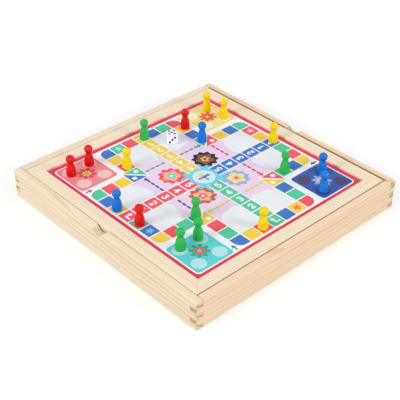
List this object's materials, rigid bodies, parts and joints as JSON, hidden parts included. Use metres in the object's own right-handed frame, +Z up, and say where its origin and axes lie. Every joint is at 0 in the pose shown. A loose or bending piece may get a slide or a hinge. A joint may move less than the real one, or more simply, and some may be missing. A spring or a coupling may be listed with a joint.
{
  "type": "wooden games box",
  "caption": "Square wooden games box with finger-jointed walls and scooped finger notches. A framed race-game board drops in flush as its lid, with turned pawns and a die on it.",
  "frame": {"origin": "centre of the box's square footprint, on its underside", "axes": "+Z up out of the box, +X to the right, square to the two notched walls, +Y to the back wall"},
  "size_m": [0.3, 0.3, 0.0575],
  "materials": {
    "wall_pine": "clear satin varnish",
    "frame_pine": "clear satin varnish",
    "inner_pine": "planed, unvarnished",
    "plywood": "sanded plywood",
    "printed_sheet": "satin-varnished colour print",
    "pawn_red": "gloss lacquer",
    "pawn_yellow": "gloss lacquer",
    "pawn_green": "gloss lacquer",
    "pawn_blue": "gloss lacquer",
    "die_white": "polished white with blue pips"
  },
  "bodies": {
    "box": {"wall_left": "wall_pine", "wall_right": "wall_pine", "wall_front": "wall_pine", "wall_back": "wall_pine", "base_panel": "plywood", "ledge_front": "inner_pine", "ledge_back": "inner_pine", "ledge_right": "inner_pine", "ledge_left": "inner_pine", "divider_cross": "inner_pine", "divider_long": "inner_pine"},
    "board": {"board_rail_front": "frame_pine", "board_rail_right": "frame_pine", "board_rail_back": "frame_pine", "board_rail_left": "frame_pine", "board_panel": "plywood", "board_print": "printed_sheet"},
    "pawn_red_1_piece": {"pawn_red_1": "pawn_red"},
    "pawn_red_2_piece": {"pawn_red_2": "pawn_red"},
    "pawn_red_3_piece": {"pawn_red_3": "pawn_red"},
    "pawn_red_4_piece": {"pawn_red_4": "pawn_red"},
    "pawn_yellow_1_piece": {"pawn_yellow_1": "pawn_yellow"},
    "pawn_yellow_2_piece": {"pawn_yellow_2": "pawn_yellow"},
    "pawn_yellow_3_piece": {"pawn_yellow_3": "pawn_yellow"},
    "pawn_yellow_4_piece": {"pawn_yellow_4": "pawn_yellow"},
    "pawn_yellow_5_piece": {"pawn_yellow_5": "pawn_yellow"},
    "pawn_green_1_piece": {"pawn_green_1": "pawn_green"},
    "pawn_green_2_piece": {"pawn_green_2": "pawn_green"},
    "pawn_green_3_piece": {"pawn_green_3": "pawn_green"},
    "pawn_green_4_piece": {"pawn_green_4": "pawn_green"},
    "pawn_green_5_piece": {"pawn_green_5": "pawn_green"},
    "pawn_blue_1_piece": {"pawn_blue_1": "pawn_blue"},
    "pawn_blue_2_piece": {"pawn_blue_2": "pawn_blue"},
    "pawn_blue_3_piece": {"pawn_blue_3": "pawn_blue"},
    "pawn_blue_4_piece": {"pawn_blue_4": "pawn_blue"},
    "die_piece": {"die": "die_white"}
  },
  "joints": [
    {"name": "lift_board", "type": "slide", "parent": "box", "child": "board", "axis": [0, 0, 1], "range_m": [0, 0.08]},
    {"name": "lift_pawn_red_1", "type": "slide", "parent": "board", "child": "pawn_red_1_piece", "axis": [0, 0, 1], "range_m": [0, 0.05]},
    {"name": "lift_pawn_red_2", "type": "slide", "parent": "board", "child": "pawn_red_2_piece", "axis": [0, 0, 1], "range_m": [0, 0.05]},
    {"name": "lift_pawn_red_3", "type": "slide", "parent": "board", "child": "pawn_red_3_piece", "axis": [0, 0, 1], "range_m": [0, 0.05]},
    {"name": "lift_pawn_red_4", "type": "slide", "parent": "board", "child": "pawn_red_4_piece", "axis": [0, 0, 1], "range_m": [0, 0.05]},
    {"name": "lift_pawn_yellow_1", "type": "slide", "parent": "board", "child": "pawn_yellow_1_piece", "axis": [0, 0, 1], "range_m": [0, 0.05]},
    {"name": "lift_pawn_yellow_2", "type": "slide", "parent": "board", "child": "pawn_yellow_2_piece", "axis": [0, 0, 1], "range_m": [0, 0.05]},
    {"name": "lift_pawn_yellow_3", "type": "slide", "parent": "board", "child": "pawn_yellow_3_piece", "axis": [0, 0, 1], "range_m": [0, 0.05]},
    {"name": "lift_pawn_yellow_4", "type": "slide", "parent": "board", "child": "pawn_yellow_4_piece", "axis": [0, 0, 1], "range_m": [0, 0.05]},
    {"name": "lift_pawn_yellow_5", "type": "slide", "parent": "board", "child": "pawn_yellow_5_piece", "axis": [0, 0, 1], "range_m": [0, 0.05]},
    {"name": "lift_pawn_green_1", "type": "slide", "parent": "board", "child": "pawn_green_1_piece", "axis": [0, 0, 1], "range_m": [0, 0.05]},
    {"name": "lift_pawn_green_2", "type": "slide", "parent": "board", "child": "pawn_green_2_piece", "axis": [0, 0, 1], "range_m": [0, 0.05]},
    {"name": "lift_pawn_green_3", "type": "slide", "parent": "board", "child": "pawn_green_3_piece", "axis": [0, 0, 1], "range_m": [0, 0.05]},
    {"name": "lift_pawn_green_4", "type": "slide", "parent": "board", "child": "pawn_green_4_piece", "axis": [0, 0, 1], "range_m": [0, 0.05]},
    {"name": "lift_pawn_green_5", "type": "slide", "parent": "board", "child": "pawn_green_5_piece", "axis": [0, 0, 1], "range_m": [0, 0.05]},
    {"name": "lift_pawn_blue_1", "type": "slide", "parent": "board", "child": "pawn_blue_1_piece", "axis": [0, 0, 1], "range_m": [0, 0.05]},
    {"name": "lift_pawn_blue_2", "type": "slide", "parent": "board", "child": "pawn_blue_2_piece", "axis": [0, 0, 1], "range_m": [0, 0.05]},
    {"name": "lift_pawn_blue_3", "type": "slide", "parent": "board", "child": "pawn_blue_3_piece", "axis": [0, 0, 1], "range_m": [0, 0.05]},
    {"name": "lift_pawn_blue_4", "type": "slide", "parent": "board", "child": "pawn_blue_4_piece", "axis": [0, 0, 1], "range_m": [0, 0.05]},
    {"name": "lift_die", "type": "slide", "parent": "board", "child": "die_piece", "axis": [0, 0, 1], "range_m": [0, 0.05]}
  ]
}
